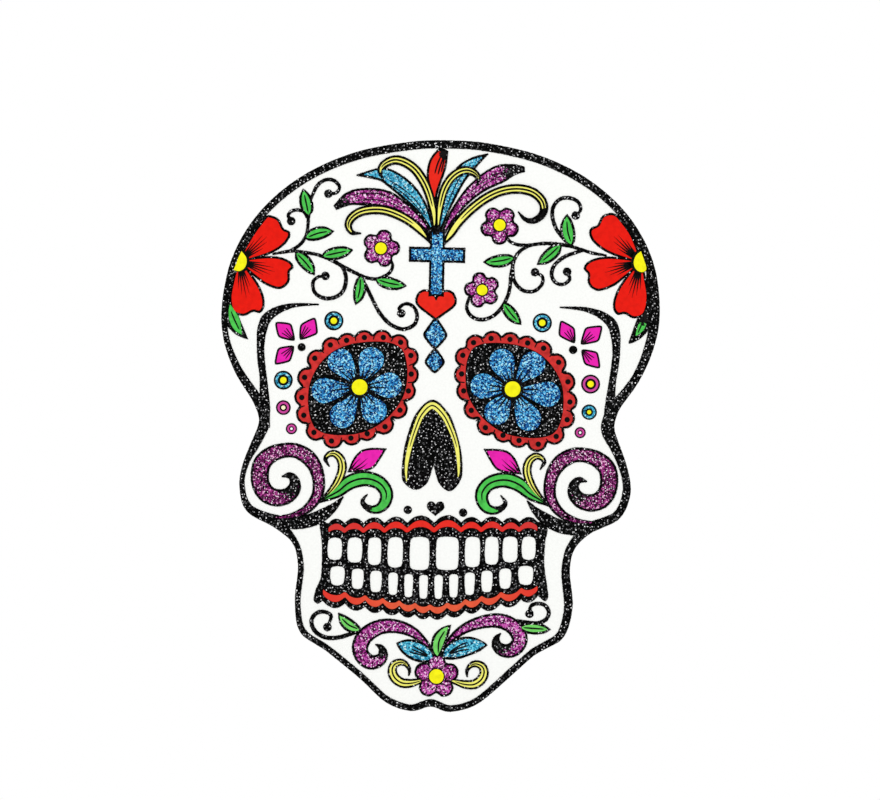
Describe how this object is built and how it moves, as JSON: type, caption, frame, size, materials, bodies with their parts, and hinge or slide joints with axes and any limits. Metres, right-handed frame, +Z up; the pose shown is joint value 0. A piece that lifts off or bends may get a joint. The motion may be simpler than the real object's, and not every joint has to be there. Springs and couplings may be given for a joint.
{
  "type": "sugar skull",
  "caption": "Flat die-cut sugar skull wall decoration: white-faced board with raised black glitter line work and coloured flowers, vines, feathers, eyes and teeth.",
  "frame": {"origin": "on the back face, near the middle of the skull's height and width", "axes": "+Z up, from chin to crown; +X to the viewer's right; +Y out of the back, so the printed face looks towards -Y"},
  "size_m": [0.2719, 0.004, 0.3545],
  "materials": {
    "back_sheet": "matte",
    "core_card": "matte",
    "white_sheet": "satin",
    "black_glitter": "satin",
    "pink_ink": "satin",
    "blue_glitter": "satin",
    "red_ink": "satin",
    "purple_glitter": "satin",
    "orange_ink": "satin",
    "green_ink": "satin",
    "yellow_ink": "satin"
  },
  "bodies": {
    "root": {"back_sheet": "back_sheet", "core_board": "core_card", "face_sheet": "white_sheet", "border_line": "black_glitter", "mouth_ground": "black_glitter", "left_eye_ground": "black_glitter", "right_eye_ground": "black_glitter", "nose_ground": "black_glitter", "crest_ground": "black_glitter", "left_temple_ground": "black_glitter", "right_temple_ground": "black_glitter", "left_vine": "black_glitter", "right_vine": "black_glitter", "left_cheek_ground": "black_glitter", "right_cheek_ground": "black_glitter", "chin_ground": "black_glitter", "lip_heart": "black_glitter", "left_brow_petal_inner": "pink_ink", "left_brow_petal_outer": "pink_ink", "left_brow_petal_lower": "pink_ink", "right_brow_petal_inner": "pink_ink", "right_brow_petal_outer": "pink_ink", "right_brow_petal_lower": "pink_ink", "left_ring_middle": "pink_ink", "left_ring_lower": "pink_ink", "right_ring_upper": "pink_ink", "right_ring_lower": "pink_ink", "left_ring_top": "blue_glitter", "left_ring_upper": "blue_glitter", "right_ring_top": "blue_glitter", "right_ring_middle": "blue_glitter", "left_eye_petals": "blue_glitter", "right_eye_petals": "blue_glitter", "cross": "blue_glitter", "upper_drop": "blue_glitter", "lower_drop": "blue_glitter", "left_blue_feather": "blue_glitter", "right_blue_feather": "blue_glitter", "left_eye_rim": "red_ink", "right_eye_rim": "red_ink", "crest_heart": "red_ink", "red_feather": "red_ink", "left_temple_petals": "red_ink", "right_temple_petals": "red_ink", "upper_gum": "red_ink", "left_purple_feather": "purple_glitter", "right_purple_feather": "purple_glitter", "left_flower": "purple_glitter", "right_upper_flower": "purple_glitter", "right_lower_flower": "purple_glitter", "left_cheek_spiral": "purple_glitter", "right_cheek_spiral": "purple_glitter", "left_chin_scroll": "purple_glitter", "right_chin_scroll": "purple_glitter", "chin_flower": "purple_glitter", "lower_gum": "orange_ink", "left_cheek_swoosh": "green_ink", "right_cheek_swoosh": "green_ink", "left_eye_centre": "yellow_ink", "right_eye_centre": "yellow_ink"}
  },
  "joints": []
}
